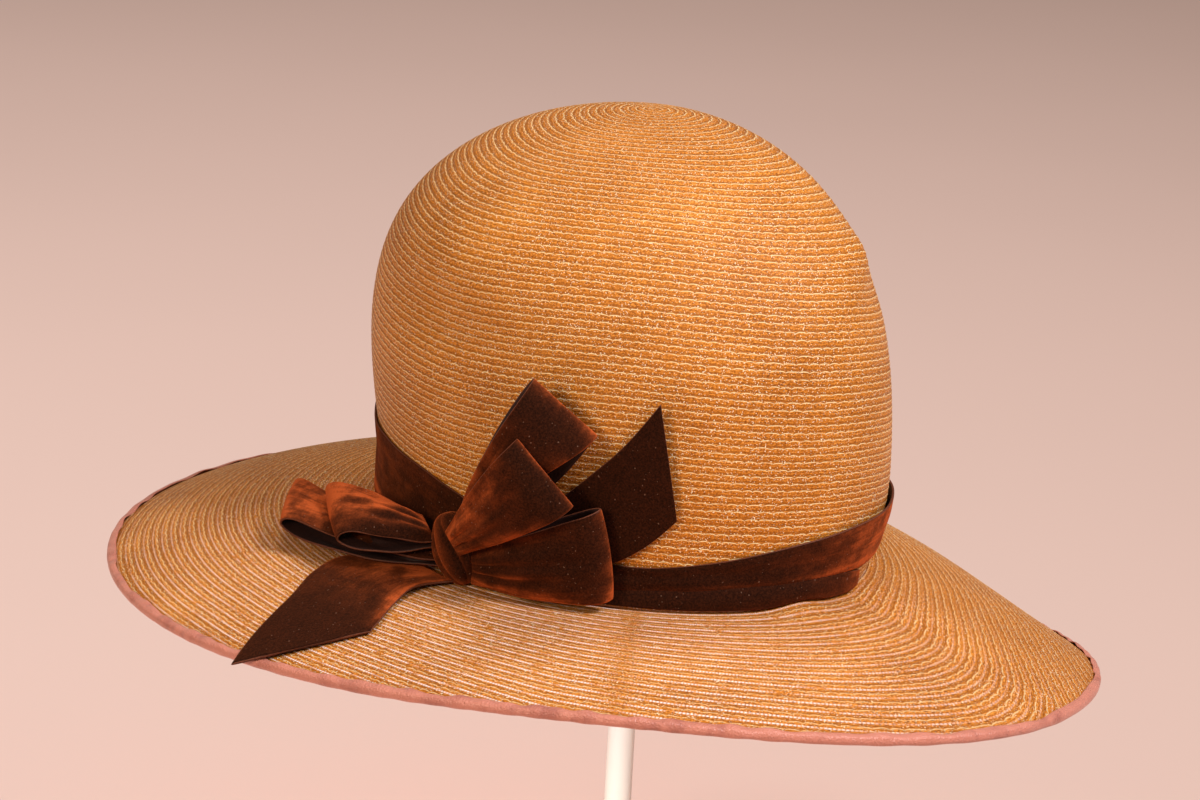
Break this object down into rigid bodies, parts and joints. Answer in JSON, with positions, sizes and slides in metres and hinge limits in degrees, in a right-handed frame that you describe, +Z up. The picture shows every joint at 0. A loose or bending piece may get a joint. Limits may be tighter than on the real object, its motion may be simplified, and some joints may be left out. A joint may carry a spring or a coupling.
{
  "type": "straw hat on a display stand",
  "caption": "Wide-brimmed hat of sewn straw braid with a tall rounded crown, satin-bound brim and velvet ribbon bow, on a plain rod stand.",
  "frame": {"origin": "centre of the stand base's flat underside, on the axis of the rod", "axes": "+Z up along the rod, the hat's front towards -Y and its bow on the -X side"},
  "size_m": [0.3496, 0.4088, 0.3637],
  "materials": {
    "straw": "fine golden straw braid sewn in rows, with a slight sheen and a pale thread along each row",
    "velvet_ribbon": "dark brown velvet with a red-brown sheen on its folds",
    "satin_binding": "dusty pink satin, lightly puckered",
    "stand_white": "smooth ivory white, semi-matte"
  },
  "bodies": {
    "root": {"crown": "straw", "brim": "straw", "brim_binding": "satin_binding", "band_upper": "velvet_ribbon", "band_lower": "velvet_ribbon", "knot": "velvet_ribbon", "loop_left_back": "velvet_ribbon", "loop_left_front": "velvet_ribbon", "loop_up_back": "velvet_ribbon", "loop_up_front": "velvet_ribbon", "loop_lower_right": "velvet_ribbon", "tail_left": "velvet_ribbon", "tail_right": "velvet_ribbon", "stand_base": "stand_white", "stand_rod": "stand_white", "stand_pad": "stand_white"}
  },
  "joints": []
}
